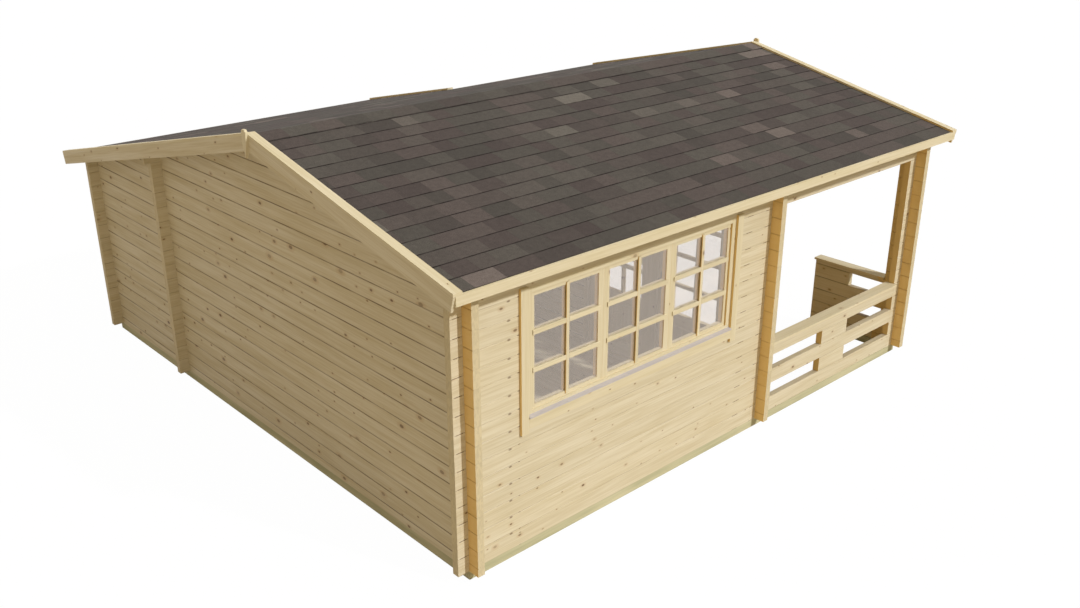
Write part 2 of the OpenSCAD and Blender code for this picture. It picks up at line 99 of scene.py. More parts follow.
class Nodes:
    """A new material, with a short call for each kind of node used here"""

    def __init__(self, name):
        self.material = bpy.data.materials.new(name)
        self.material.use_nodes = True
        self.tree = self.material.node_tree
        self.tree.nodes.clear()

    def add(self, kind, inputs=(), **settings):
        node = self.tree.nodes.new("ShaderNode" + kind)
        for key, value in settings.items():
            setattr(node, key, value)
        for key, value in dict(inputs).items():
            if isinstance(value, bpy.types.NodeSocket):
                self.tree.links.new(value, node.inputs[key])
            else:
                node.inputs[key].default_value = value
        return node

    def math(self, operation, *values):
        return self.add("Math", dict(enumerate(values)), operation=operation).outputs[0]

    def stretch(self, vector, factors):
        inputs = {0: vector, 1: factors}
        return self.add("VectorMath", inputs, operation="MULTIPLY").outputs[0]

    def shift(self, vector, by):
        return self.add("VectorMath", {0: vector, 1: by}, operation="ADD").outputs[0]

    def join(self, x, y, z):
        return self.add("CombineXYZ", {0: x, 1: y, 2: z}).outputs[0]

    def split(self, vector):
        return list(self.add("SeparateXYZ", {0: vector}).outputs)

    def noise(self, vector, scale=1.0, detail=3.0, roughness=0.5, distortion=0.0):
        inputs = {"Vector": vector, "Scale": scale, "Detail": detail,
                  "Roughness": roughness, "Distortion": distortion}
        return self.add("TexNoise", inputs).outputs[0]

    def cells(self, vector):
        """Distance to the nearest of scattered points in a plane, and its random colour"""
        node = self.add("TexVoronoi", {"Vector": vector, "Scale": 1.0},
                        voronoi_dimensions="2D")
        return node.outputs["Distance"], node.outputs["Color"]

    def ramp(self, value, low, high, start=0.0, end=1.0):
        """Smooth step from start to end as the value goes from low to high"""
        inputs = {"Value": value, "From Min": low, "From Max": high,
                  "To Min": start, "To Max": end}
        node = self.add("MapRange", inputs, interpolation_type="SMOOTHSTEP")
        return node.outputs[0]

    def mix(self, factor, a, b):
        inputs = {"Factor": factor, 6: a, 7: b}
        return self.add("Mix", inputs, data_type="RGBA").outputs[2]

    def value(self, colour, amount):
        """The colour with its brightness multiplied by a varying amount"""
        return self.add("HueSaturation", {"Color": colour, "Value": amount}).outputs[0]

    def position(self):
        return self.add("TexCoord").outputs["Object"]

    def normal(self):
        return self.add("NewGeometry").outputs["Normal"]

    def attribute(self, name):
        return self.add("Attribute", attribute_name=name)

    def shade(self, colour, roughness, height=None, depth=0.0004, **sockets):
        """Ends the material with a Principled shader and an optional bump"""
        inputs = {"Base Color": colour, "Roughness": roughness, **sockets}
        if height is not None:
            bump = self.add("Bump", {"Height": height, "Distance": depth, "Strength": 0.6})
            inputs["Normal"] = bump.outputs[0]
        shader = self.add("BsdfPrincipled", inputs)
        self.add("OutputMaterial", {"Surface": shader.outputs[0]})
        return self.material


WOOD_GLOSS = {"Specular IOR Level": 0.25}
PINE = (srgb(227, 218, 193), srgb(208, 195, 161))
PALE_PINE = (srgb(229, 219, 190), srgb(216, 204, 168))
END_PINE = srgb(218, 205, 170)
PAINTED_BOUNCE_PINE = srgb(243, 204, 126)    # painted warm bounce light for sides in the lee of the sun, which are warmer in the photo
KNOT = srgb(98, 68, 40)
SEAM = srgb(108, 77, 42)


def wood_colour(n, fibre, tones, knot_size=1.0):
    """Colour, roughness and height of planed pine, with fibre.x along the grain"""
    streaks = n.noise(n.stretch(fibre, (1.1, 21.0, 21.0)), detail=4.0, roughness=0.6)
    rings = n.noise(n.stretch(fibre, (2.6, 95.0, 95.0)), detail=2.0)
    threads = n.noise(n.stretch(fibre, (16.0, 520.0, 520.0)), detail=1.0)
    tone = n.math("ADD", n.ramp(streaks, 0.3, 0.72, 0.0, 0.55),
                  n.ramp(rings, 0.38, 0.66, 0.0, 0.45))
    colour = n.mix(tone, *tones)
    along, side, up = n.split(fibre)
    across = n.math("ADD", side, up)
    distance, cell = n.cells(n.stretch(n.join(along, across, 0.0), (4.6, 8.0, 1.0)))
    chance, size, age = n.split(cell)
    radius = n.math("MULTIPLY_ADD", n.math("POWER", size, 3.0),
                    0.075 * knot_size, 0.036 * knot_size)
    chosen = n.math("GREATER_THAN", chance, 0.60)
    halo = n.math("MULTIPLY", n.ramp(distance, n.math("MULTIPLY", radius, 2.4), radius), chosen)
    core = n.math("MULTIPLY", n.ramp(distance, radius, n.math("MULTIPLY", radius, 0.55)), chosen)
    colour = n.mix(n.math("MULTIPLY", halo, 0.30), colour, srgb(190, 155, 104))
    strength = n.math("MULTIPLY_ADD", age, 0.60, 0.30)
    colour = n.mix(n.math("MULTIPLY", core, strength), colour, KNOT)
    roughness = n.ramp(streaks, 0.3, 0.7, 0.52, 0.68)
    height = n.math("ADD", n.math("MULTIPLY", threads, 0.5), rings)
    return colour, roughness, height


def random_three(n, number, seed):
    """Three random values that belong to a whole number"""
    inputs = {"W": n.math("ADD", number, seed)}
    noise = n.add("TexWhiteNoise", inputs, noise_dimensions="1D")
    return n.split(noise.outputs["Color"])


POST_DEPTH = 0.16                  # of the porch's front posts, behind the window wall
PAINTED_BOUNCE_FRONT = 0.85                   # how strong the painted bounce light on the lee faces at the front is
PAINTED_BOUNCE_PORCH = 0.35                   # and those further back in the porch


def painted_bounce(n):
    """Painted warm bounce light on faces that look towards -X: strong at the front, faint in the
    porch
    """
    x, y, _ = n.split(n.position())
    facing = n.math("LESS_THAN", n.split(n.normal())[0], -0.6)
    wall = n.math("MULTIPLY", n.math("LESS_THAN", y, WALL_HI.y),
                  n.math("GREATER_THAN", x, GABLE_LO.x - 0.002))
    in_porch = n.math("GREATER_THAN", x, WALL_HI.x)
    posts = n.math("MULTIPLY", n.math("LESS_THAN", y, WALL_HI.y + POST_DEPTH), in_porch)
    strong = n.math("MULTIPLY", n.math("MAXIMUM", wall, posts), PAINTED_BOUNCE_FRONT)
    strength = n.math("MAXIMUM", strong, n.math("MULTIPLY", in_porch, PAINTED_BOUNCE_PORCH))
    return n.math("MULTIPLY", facing, strength)


def wood_shade(n, colour, roughness, height):
    """Ends a wood material, with painted warm bounce light on its lee sides"""
    colour = n.mix(painted_bounce(n), colour, PAINTED_BOUNCE_PINE)
    return n.shade(colour, roughness, height, **WOOD_GLOSS)


KNOT_COLUMN = WALL_LO.x + 0.474    # the logs of the window wall share a knot here
KNOT_DROP = 0.008                  # depth of that knot below each seam
KNOT_RUN = 0.017                   # its half length along the log
KNOT_HIGH = 0.008                  # its half height
LOG_KNOTS = (1.0, 1.4)             # size of the scattered knots in logs along X and along Y
SEAM_CORE = 0.0015                 # distance from a seam within which it is darkest
STRETCH_SEAM_DARK = 0.8                    # how dark the seams are along those stretches
BOUNCE_SEAM_FAINT = 0.73                   # how much fainter seams are under the painted bounce light on the lee faces
END_FAINT = 0.9                    # and on the ends of the logs

# Stretches of the window wall where the seams are darker: on the left arm and beside the
# partition's arm this is painted shade in the grooves, elsewhere dark strokes in the wood: middle
# and half length
DARK_SEAM_STRETCHES = ((WALL_LO.x + 0.049, 0.036), (FRAME_LO.x - 0.076, 0.010),
              (WALL_HI.x - 0.434, 0.045), (WALL_HI.x - 0.212, 0.028))


def seam_stretch_mask(n, place):
    """1 along the stretches where the seams of the window wall are darker"""
    total = 0.0
    for middle, half in DARK_SEAM_STRETCHES:
        away = n.math("ABSOLUTE", n.math("SUBTRACT", place[0], middle))
        total = n.math("MAXIMUM", total, n.ramp(away, half, 0.7 * half))
    return n.math("MULTIPLY", total, n.math("LESS_THAN", place[1], WALL_HI.y))


def seam_knots(n, colour, place, axis, level, columns):
    """Adds a knot just below each seam in columns at places along the axis"""
    for at in columns:
        run = n.math("DIVIDE", n.math("SUBTRACT", place[axis], at), KNOT_RUN)
        below = n.math("ADD", level, KNOT_DROP / LOG_H)
        away = n.math("MULTIPLY", n.math("PINGPONG", below, 0.5), LOG_H)
        drop = n.math("DIVIDE", away, KNOT_HIGH)
        spot = n.math("SQRT", n.math("ADD", n.math("POWER", run, 2.0),
                                     n.math("POWER", drop, 2.0)))
        colour = n.mix(n.ramp(spot, 1.25, 0.4, 0.0, 0.7), colour, KNOT)
    return colour


def log_ends(n, place, other, r):
    """Colour of the end grain of logs, a little different on each"""
    across = n.join(place[other], place[2], n.math("MULTIPLY", r[0], 7.0))
    growth = n.noise(n.stretch(across, (70.0, 24.0, 1.0)), detail=2.0, distortion=0.6)
    return n.value(n.mix(n.ramp(growth, 0.4, 0.6), END_PINE, PINE[1]),
                   n.math("MULTIPLY_ADD", r[1], 0.06, 0.97))


def seam_strength(n, place, dark, bounce_paint, at_end):
    """How dark the seams are: patchy, darker in stretches, faint under the painted bounce light
    on lee faces and on ends
    """
    patchy = n.ramp(n.noise(n.position(), scale=3.0, detail=2.0), 0.35, 0.65, 0.6, 1.25)
    stretch_dark = n.math("MULTIPLY", seam_stretch_mask(n, place), STRETCH_SEAM_DARK)
    strength = n.math("MAXIMUM", n.math("MULTIPLY", patchy, dark), stretch_dark)
    faint = n.math("MAXIMUM", n.math("MULTIPLY", bounce_paint, BOUNCE_SEAM_FAINT),
                   n.math("MULTIPLY", at_end, END_FAINT))
    return n.math("MULTIPLY", strength, n.math("SUBTRACT", 1.0, faint))


def log_wood(name, axis, low_seam, seam_wide, seam_dark, knots=()):
    """Stacked logs along an axis: each course its own timber, with seams and end grain"""
    n = Nodes(name)
    place = n.split(n.position())
    other = 1 - axis
    level = n.math("DIVIDE", n.math("SUBTRACT", place[2], low_seam), LOG_H)
    r = random_three(n, n.math("FLOOR", level), 3.7 + 11 * axis)
    fibre = n.join(n.math("MULTIPLY_ADD", r[0], 9.0, place[axis]),
                   n.math("MULTIPLY_ADD", r[1], 5.0, place[other]), place[2])
    colour, roughness, height = wood_colour(n, fibre, PINE, LOG_KNOTS[axis])
    colour = seam_knots(n, colour, place, axis, level, knots)
    colour = n.value(colour, n.math("MULTIPLY_ADD", r[2], 0.05, 0.975))
    facing_along = n.math("ABSOLUTE", n.split(n.normal())[axis])
    at_end = n.math("GREATER_THAN", facing_along, 0.8)
    colour = n.mix(at_end, colour, log_ends(n, place, other, r))
    # Painted warm bounce light on the lee faces, which also fades their seams
    bounce_paint = painted_bounce(n)
    colour = n.mix(bounce_paint, colour, PAINTED_BOUNCE_PINE)
    from_seam = n.math("MULTIPLY", n.math("PINGPONG", level, 0.5), LOG_H)
    shaded = n.math("MULTIPLY", n.ramp(from_seam, seam_wide, SEAM_CORE),
                    seam_strength(n, place, seam_dark, bounce_paint, at_end))
    return n.shade(n.mix(shaded, colour, SEAM), roughness, height, **WOOD_GLOSS)


def swizzle(n, place, axis):
    """A place with the coordinate along the grain first"""
    return n.join(place[axis], place[(axis + 1) % 3], place[(axis + 2) % 3])


def plank_wood(name, tones, axis, other_axis=None, where=None, offset=0.0):
    """Planed boards with the grain along an axis, or another one inside a region"""
    n = Nodes(name)
    place = n.split(n.position())
    fibre = swizzle(n, place, axis)
    if where is not None:
        mask = where(n, place)
        fibre = n.mix(mask, fibre, swizzle(n, place, other_axis))
    fibre = n.shift(fibre, (offset, 0.3 * offset, 0.7 * offset))
    return wood_shade(n, *wood_colour(n, fibre, tones))


def verge_wood(name, tones, offset):
    """Boards with the grain along the slopes of the roof"""
    n = Nodes(name)
    x, y, z = n.split(n.position())
    away = n.math("ABSOLUTE", n.math("SUBTRACT", y, RIDGE_Y))
    fibre = n.join(y, n.math("MULTIPLY_ADD", away, SLOPE, z), x)
    fibre = n.shift(fibre, (offset, 0.3 * offset, 0.7 * offset))
    return wood_shade(n, *wood_colour(n, fibre, tones))


def between(axis, low, high):
    """A region test: 1 where the coordinate lies between two values"""
    def test(n, place):
        half = (high - low) / 2
        away = n.math("ABSOLUTE", n.math("SUBTRACT", place[axis], (low + high) / 2))
        return n.math("LESS_THAN", away, half)
    return test


def board_wood(name, tones):
    """Boards built here: their fibre attribute runs along the grain, each its own timber"""
    n = Nodes(name)
    fibre = n.attribute("fibre").outputs["Vector"]
    tone = n.attribute("tone").outputs["Fac"]
    colour, roughness, height = wood_colour(n, fibre, tones)
    colour = n.value(colour, n.math("MULTIPLY_ADD", tone, 0.12, 0.94))
    return wood_shade(n, colour, roughness, height)


def end_grain(name):
    n = Nodes(name)
    fibre = n.attribute("fibre").outputs["Vector"]
    growth = n.noise(n.stretch(fibre, (1.0, 60.0, 60.0)), detail=2.0, distortion=0.8)
    colour = n.mix(n.ramp(growth, 0.35, 0.65), END_PINE, PINE[1])
    return n.shade(colour, n.ramp(growth, 0.3, 0.7, 0.6, 0.75), growth, **WOOD_GLOSS)


def treated_wood(name):
    """Pale green impregnated beams, with the grain along each beam"""
    n = Nodes(name)
    place = n.split(n.position())
    faces = n.split(n.normal())
    along_y = n.math("GREATER_THAN", n.math("ABSOLUTE", faces[0]), 0.7)
    fibre = n.mix(along_y, swizzle(n, place, 0), swizzle(n, place, 1))
    streaks = n.noise(n.stretch(fibre, (1.4, 30.0, 30.0)), detail=4.0)
    patches = n.noise(n.position(), scale=2.3, detail=2.0)
    tone = n.math("ADD", n.ramp(streaks, 0.3, 0.7, 0.0, 0.6), n.ramp(patches, 0.3, 0.7, 0.0, 0.4))
    colour = n.mix(tone, srgb(211, 206, 172), srgb(184, 183, 148))
    return n.shade(colour, n.ramp(streaks, 0.3, 0.7, 0.6, 0.8), streaks, **WOOD_GLOSS)


def painted(name, light, dark):
    """Smooth paint over wood, a little uneven"""
    n = Nodes(name)
    uneven = n.noise(n.stretch(n.position(), (3.0, 30.0, 30.0)), detail=3.0)
    colour = n.mix(n.ramp(uneven, 0.3, 0.7), light, dark)
    return n.shade(colour, n.ramp(uneven, 0.3, 0.7, 0.38, 0.5), uneven, depth=0.0002)


def brushed_metal(name):
    n = Nodes(name)
    lines = n.noise(n.stretch(n.position(), (60.0, 60.0, 900.0)), detail=2.0)
    colour = n.mix(n.ramp(lines, 0.3, 0.7), srgb(196, 196, 192), srgb(160, 160, 158))
    return n.shade(colour, n.ramp(lines, 0.3, 0.7, 0.28, 0.42), lines,
                   depth=0.0001, Metallic=1.0)


def shingle_felt(name):
    """Mineral felt: granules, a tone for each tab and a painted shade line along the lower edge
    of each course
    """
    n = Nodes(name)
    tone = n.attribute("tone").outputs["Fac"]
    rise = n.attribute("rise").outputs["Fac"]
    place = n.position()
    granules = n.noise(place, scale=230.0, detail=2.0, roughness=0.7)
    mottling = n.noise(place, scale=26.0, detail=3.0)
    hue = n.math("FRACT", n.math("MULTIPLY", tone, 37.0))
    colour = n.mix(n.ramp(hue, 0.2, 0.8), n.mix(tone, srgb(62, 59, 56), srgb(112, 108, 102)),
                   n.mix(tone, srgb(63, 56, 55), srgb(114, 105, 101)))
    grain = n.math("ADD", n.ramp(granules, 0.25, 0.75, 0.62, 1.40),
                   n.ramp(mottling, 0.3, 0.7, -0.07, 0.07))
    colour = n.value(colour, grain)
    broken = n.noise(place, scale=7.0, detail=2.0)
    # Painted shade on both sides of each course's lower edge, broken in places
    butt_shade = n.math("MAXIMUM", n.ramp(rise, 0.965, 0.985), n.ramp(rise, 0.006, 0.001))
    butt_shade = n.math("MULTIPLY", butt_shade, n.ramp(broken, 0.35, 0.6, 0.45, 0.9))
    colour = n.mix(butt_shade, colour, srgb(36, 31, 30))
    return n.shade(colour, n.ramp(granules, 0.3, 0.7, 0.78, 0.95), granules,
                   depth=0.0008, **{"Specular IOR Level": 0.2})


GLASS_VEIL = 0.20                  # share of each face of a pane that mirrors


def window_glass(name):
    """Thin panes: partly mirroring, partly clear, and open to lamps and bounced light"""
    n = Nodes(name)
    clear = n.add("BsdfTransparent", {"Color": (1.0, 1.0, 1.0, 1.0)})
    ripple = n.noise(n.position(), scale=1.7, detail=1.0)
    mirror = n.add("BsdfGlossy", {"Color": (0.97, 0.86, 0.76, 1.0),
                                  "Roughness": n.ramp(ripple, 0.3, 0.7, 0.02, 0.05)})
    pane = n.add("MixShader", {0: GLASS_VEIL, 1: clear.outputs[0], 2: mirror.outputs[0]})
    path = n.add("LightPath").outputs
    light = n.math("MAXIMUM", path["Is Shadow Ray"], path["Is Diffuse Ray"])
    opening = n.add("BsdfTransparent")
    out = n.add("MixShader", {0: light, 1: pane.outputs[0], 2: opening.outputs[0]})
    n.add("OutputMaterial", {"Surface": out.outputs[0]})
    return n.material


# ---- Mesh tools ---------------------------------------------------------------------


class Piece:
    """A mesh of many parts that becomes one named piece on a body"""

    def __init__(self, name, seed):
        self.name = name
        self.mesh = bmesh.new()
        self.fibre = self.mesh.verts.layers.float_vector.new("fibre")
        self.tone = self.mesh.verts.layers.float.new("tone")
        self.rise = self.mesh.verts.layers.float.new("rise")
        self.random = random.Random(seed)

    def solid(self, rings, axis, tone=None, ends=1):
        """Skins rings of points in order and closes both ends. The first ring's points
        go round one end, and axis is the direction of the grain."""
        tone = self.random.random() if tone is None else tone
        offset = Vector([self.random.uniform(0, 9) for _ in range(3)])
        axis = Vector(axis).normalized()
        helper = Vector((0, 0, 1)) if abs(axis.z) < 0.9 else Vector((1, 0, 0))
        side = axis.cross(helper).normalized()
        up = side.cross(axis)
        loops = []
        for ring in rings:
            verts = []
            for point in ring:
                point = Vector(point)
                vert = self.mesh.verts.new(point)
                local = Vector((point.dot(axis), point.dot(side), point.dot(up)))
                vert[self.fibre] = local + offset
                vert[self.tone] = tone
                verts.append(vert)
            loops.append(verts)
        count = len(loops[0])
        for a, b in zip(loops, loops[1:]):
            for i in range(count):
                j = (i + 1) % count
                self.mesh.faces.new((a[i], a[j], b[j], b[i]))
        for loop in (list(reversed(loops[0])), loops[-1]):
            face = self.mesh.faces.new(loop)
            face.material_index = ends
        return loops

    def box(self, lo, hi, axis, chamfer=0.002, tone=None):
        """Board between two corners with its long edges eased, grain along an axis"""
        lo, hi = Vector(lo), Vector(hi)
        u, v = [(1, 2), (2, 0), (0, 1)][axis]
        c = min(chamfer, 0.3 * (hi[u] - lo[u]), 0.3 * (hi[v] - lo[v]))
        outline = [(lo[u] + c, lo[v]), (hi[u] - c, lo[v]), (hi[u], lo[v] + c),
                   (hi[u], hi[v] - c), (hi[u] - c, hi[v]), (lo[u] + c, hi[v]),
                   (lo[u], hi[v] - c), (lo[u], lo[v] + c)]
        rings = []
        for along in (lo[axis], hi[axis]):
            ring = []
            for a, b in outline:
                point = Vector((0, 0, 0))
                point[axis], point[u], point[v] = along, a, b
                ring.append(point)
            rings.append(ring)
        direction = Vector((0, 0, 0))
        direction[axis] = 1
        return self.solid(rings, direction, tone)

    def finish(self, body, materials, replaced=()):
        """Turns the mesh into an object that rides on a body"""
        bmesh.ops.recalc_face_normals(self.mesh, faces=self.mesh.faces)
        data = bpy.data.meshes.new(self.name)
        self.mesh.to_mesh(data)
        self.mesh.free()
        thing = bpy.data.objects.new(self.name, data)
        bpy.context.scene.collection.objects.link(thing)
        for material in materials:
            data.materials.append(material)
        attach(thing, body)
        if replaced:
            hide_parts(*replaced)
        return thing


# ---- Boards of the roof and the floor ----------------------------------------------

BOARD_GAP = 0.0006
BOARD_VEE = 0.005                  # chamfer that makes the V-joint between boards
ROOF_BOARD = 0.096
FLOOR_BOARD = 0.096


def roof_boards(name, node, x0, x1, y0, y1, seed):
    """Boards side by side along X, each running down the slope, V-jointed below"""
    piece = Piece(name, seed)
    count = round((x1 - x0) / ROOF_BOARD)
    width = (x1 - x0) / count
    low = (roof_z(y0) - roof_z(y1)) / (y0 - y1)
    bottom = 0.00005
    for k in range(count):
        a = x0 + k * width + BOARD_GAP / 2
        b = x0 + (k + 1) * width - BOARD_GAP / 2
        outline = [(a + BOARD_VEE, bottom), (b - BOARD_VEE, bottom), (b, bottom + BOARD_VEE),
                   (b, BOARD_UP), (a, BOARD_UP), (a, bottom + BOARD_VEE)]
        rings = [[(x, y, roof_z(y, up)) for x, up in outline] for y in (y0, y1)]
        piece.solid(rings, (0, 1, low))
    return piece.finish("cabin", [ROOF_PINE, END_GRAIN], [node])


def floor_boards():
    """Floor of the room and bay, cut round the log ends that stand in it"""
    piece = Piece("floor_planks", 21)
    count = round((FLOOR_HI.x - FLOOR_LO.x) / FLOOR_BOARD)
    width = (FLOOR_HI.x - FLOOR_LO.x) / count
    reach = abs(GABLE_LO.x - STUBS_LO.x)
    inner_left = GABLE_HI.x + reach
    inner_right = FLOOR_HI.x - reach
    for k in range(count):
        a = FLOOR_LO.x + k * width + BOARD_GAP / 2
        b = FLOOR_LO.x + (k + 1) * width - BOARD_GAP / 2
        beside_stub = a < inner_left + 0.001 or b > inner_right - 0.001
        spans = [(FLOOR_LO.y, FLOOR_HI.y)]
        if beside_stub:
            spans = [(FLOOR_LO.y, STUBS_LO.y - 0.001), (STUBS_HI.y + 0.001, FLOOR_HI.y)]
        for y0, y1 in spans:
            piece.box((a, y0, FLOOR_LO.z), (b, y1, FLOOR_HI.z), 1, chamfer=0.0015)
    return piece.finish("cabin", [FLOOR_PINE, END_GRAIN], ["floor_boards"])


# ---- Shingles -----------------------------------------------------------------------

COURSE_RUN = 0.155                 # horizontal run of each course of shingles
RIDGE_HALF = 0.1375                # half width of a ridge cap
SHINGLE_TOP = BOARD_UP + 0.007     # top of a course at its lower edge
SHINGLE_REST = BOARD_UP + 0.003    # where the lower edge rests on the course below
SHINGLE_BED = BOARD_UP + 0.0003    # underside of the tabs
TAB_WIDTHS = (0.165, 0.205, 0.235, 0.25, 0.33)
LIGHT_SHARE = 0.09                 # share of tabs that are clearly lighter
TUCK = 0.012                       # how far a tab runs on under the course above
TAB_JOG = 0.0015                   # how far a tab's lower edge strays
TAB_GAP = 0.0003                   # at each side of a tab and at the ends of the caps
LEAST_TAB = 0.07                   # a narrower rest joins the last tab of a course
LEAST_COURSE = 0.02                # a shorter run at the eave joins the last course
CAP_LAP = 0.02                     # how far a ridge cap runs on over the next
CAP_ROUND = 0.012                  # half width of the bend over the ridge


def tab_tone(rng):
    """Tone of one tab or cap: mostly dark, now and then clearly lighter"""
    if rng.random() < LIGHT_SHARE:
        return rng.uniform(0.62, 1.0)
    return rng.uniform(0.16, 0.46)


def tab(piece, x0, x1, y_low, y_high):
    """One shingle tab from its lower edge at y_low up to y_high, tucked under the next"""
    tuck = y_high + math.copysign(TUCK, y_high - y_low)
    at_eave = min(abs(y_low - y) for y in (BOARDS_LO.y, FAR_HI.y, BAY_HI.y)) < 0.001
    jog = 0.0 if at_eave else piece.random.uniform(-TAB_JOG, TAB_JOG)
    run = abs(y_high - y_low)
    rows = [(y_low + jog, SHINGLE_BED, SHINGLE_TOP, 0.0),
            (y_high, SHINGLE_BED, SHINGLE_REST, 1.0),
            (tuck, SHINGLE_BED, SHINGLE_REST - 0.0006, 1.0 + abs(tuck - y_high) / run)]
    if (tuck - RIDGE_Y) * (y_low - RIDGE_Y) < 0:
        rows = rows[:2]
    rings = [[(x0, y, roof_z(y, low)), (x1, y, roof_z(y, low)),
              (x1, y, roof_z(y, top)), (x0, y, roof_z(y, top))] for y, low, top, _ in rows]
    loops = piece.solid(rings, (1, 0, 0), tab_tone(piece.random), ends=0)
    for loop, row in zip(loops, rows):
        for vert in loop:
            vert[piece.rise] = row[3]


def shingle_slope(piece, x0, x1, y_eave):
    """Courses of tabs from the ridge down to the eave at y_eave"""
    down = math.copysign(1, y_eave - RIDGE_Y)
    span = abs(y_eave - RIDGE_Y)
    edges = [0.0, RIDGE_HALF]
    while edges[-1] + COURSE_RUN < span - LEAST_COURSE:
        edges.append(edges[-1] + COURSE_RUN)
    edges.append(span)
    for top, low in zip(edges, edges[1:]):
        y_high = RIDGE_Y + down * top
        y_low = RIDGE_Y + down * low
        x = x0
        while x < x1 - 0.0005:
            width = piece.random.choice(TAB_WIDTHS)
            if x == x0:
                width *= piece.random.uniform(0.4, 1.0)
            if x1 - (x + width) < LEAST_TAB:
                width = x1 - x
            tab(piece, x + TAB_GAP, x + width - TAB_GAP, y_low, y_high)
            x += width


RIDGE_STEP = 0.235                 # length of each cap that stays in view
CAP_THICK = 0.003
CAP_RISE = CAP_THICK + 0.0005      # lift of the end that lies over the next cap


def ridge_caps():
    """Caps bent over the ridge, each lapping the last along X"""
    piece = Piece("ridge_caps", 33)
    count = round((BOARDS_HI.x - BOARDS_LO.x) / RIDGE_STEP)
    step = (BOARDS_HI.x - BOARDS_LO.x) / count
    sides = (-RIDGE_HALF, -CAP_ROUND, 0.0, CAP_ROUND, RIDGE_HALF)
    for k in range(count):
        x0 = BOARDS_LO.x + k * step + TAB_GAP
        x1 = min(x0 + step + CAP_LAP, BOARDS_HI.x - TAB_GAP)
        rings = []
        for x, lift in ((x0, 0.0), (x1, CAP_RISE)):
            top = [(x, RIDGE_Y + s, roof_z(RIDGE_Y + s, SHINGLE_TOP + CAP_THICK + lift))
                   for s in sides]
            low = [(x, RIDGE_Y + s, roof_z(RIDGE_Y + s, SHINGLE_TOP + 0.0002 + lift))
                   for s in reversed(sides)]
            rings.append(top + low)
        loops = piece.solid(rings, (1, 0, 0), tab_tone(piece.random), ends=0)
        for loop in loops:
            for vert in loop:
                vert[piece.rise] = 0.5
    return piece.finish("cabin", [FELT])


# ---- Window bars and door leaves ---------------------------------------------------

PANE_ROWS = 3
BAR_TALL = 0.036                   # horizontal glazing bars
BAR_WIDE = 0.030                   # vertical glazing bars
BAR_PROUD = 0.009                  # how far the bars stand in front of the sash
BAR_LAP = 0.018                    # how far they run onto the sash
GLASS_GAP = 0.0005                 # between bars and the glass or the sash beside them
JOINT_GAP = 0.0002                 # hairline between pieces of joinery that meet
SASHES = 3


def window_bars():
    """A grid of bars planted on each sash, in front of the glass and behind it"""
    piece = Piece("window_bars", 41)
    pitch = (SASH_HI.x - SASH_LO.x) / SASHES
    stile = PANE_LO.x - SASH_LO.x
    front = SASH_LO.y - BAR_PROUD
    on_sash = SASH_LO.y - JOINT_GAP
    before_glass = PANE_LO.y - GLASS_GAP
    behind_glass = PANE_HI.y + GLASS_GAP
    z0, z1 = PANE_LO.z, PANE_HI.z
    row = (z1 - z0 + BAR_TALL) / PANE_ROWS
    for k in range(SASHES):
        x0 = SASH_LO.x + k * pitch + stile
        x1 = SASH_LO.x + (k + 1) * pitch - stile
        left = (x0 + x1) / 2 - BAR_WIDE / 2
        right = left + BAR_WIDE
        piece.box((left, front, z0 - BAR_LAP), (right, on_sash, z1 + BAR_LAP), 2)
        for y0, y1 in ((SASH_LO.y, before_glass), (behind_glass, SASH_HI.y)):
            piece.box((left, y0, z0 + GLASS_GAP), (right, y1, z1 - GLASS_GAP), 2)
        for r in range(1, PANE_ROWS):
            top = z0 + r * row
            low = top - BAR_TALL
            for a, b in ((x0 - BAR_LAP, left - JOINT_GAP), (right + JOINT_GAP, x1 + BAR_LAP)):
                piece.box((a, front, low), (b, on_sash, top), 0)
            for a, b in ((x0 + GLASS_GAP, left - JOINT_GAP), (right + JOINT_GAP, x1 - GLASS_GAP)):
                piece.box((a, SASH_LO.y, low), (b, before_glass, top), 0)
                piece.box((a, behind_glass, low), (b, SASH_HI.y, top), 0)
    return piece.finish("cabin", [TRIM_BOARD, END_GRAIN])


DOOR_ROWS = 4
DOOR_BAR = 0.030
LOCK_RAIL = 0.120
FOOT_RAIL = 0.150
PANEL_SINK = 0.009                 # how far the lower panel lies behind each face
PANEL_BOARDS = 4
FACE_SINK = 0.001                  # how far the beads lie behind each face
BAR_SINK = 0.003                   # and how far the glazing bars do
BEAD = 0.012
BEAD_EASE = 0.004                  # chamfer of the panel's boards and beads


def leaf_panel(piece, lo, hi, y0, y1, z0, z1):
    """Upright boards between two heights, with a bead round them on each face"""
    width = (y1 - y0) / PANEL_BOARDS
    for k in range(PANEL_BOARDS):
        piece.box((lo.x + PANEL_SINK, y0 + k * width + JOINT_GAP, z0),
                  (hi.x - PANEL_SINK, y0 + (k + 1) * width - JOINT_GAP, z1), 2, chamfer=BEAD_EASE)
    left, right = y0 + BEAD, y1 - BEAD
    for xa, xb in ((lo.x + FACE_SINK, lo.x + PANEL_SINK), (hi.x - PANEL_SINK, hi.x - FACE_SINK)):
        piece.box((xa, y0 + JOINT_GAP, z0), (xb, left, z1), 2, chamfer=BEAD_EASE)
        piece.box((xa, right, z0), (xb, y1 - JOINT_GAP, z1), 2, chamfer=BEAD_EASE)
        piece.box((xa, left, z0), (xb, right, z0 + BEAD), 1, chamfer=BEAD_EASE)
        piece.box((xa, left, z1 - BEAD), (xb, right, z1), 1, chamfer=BEAD_EASE)


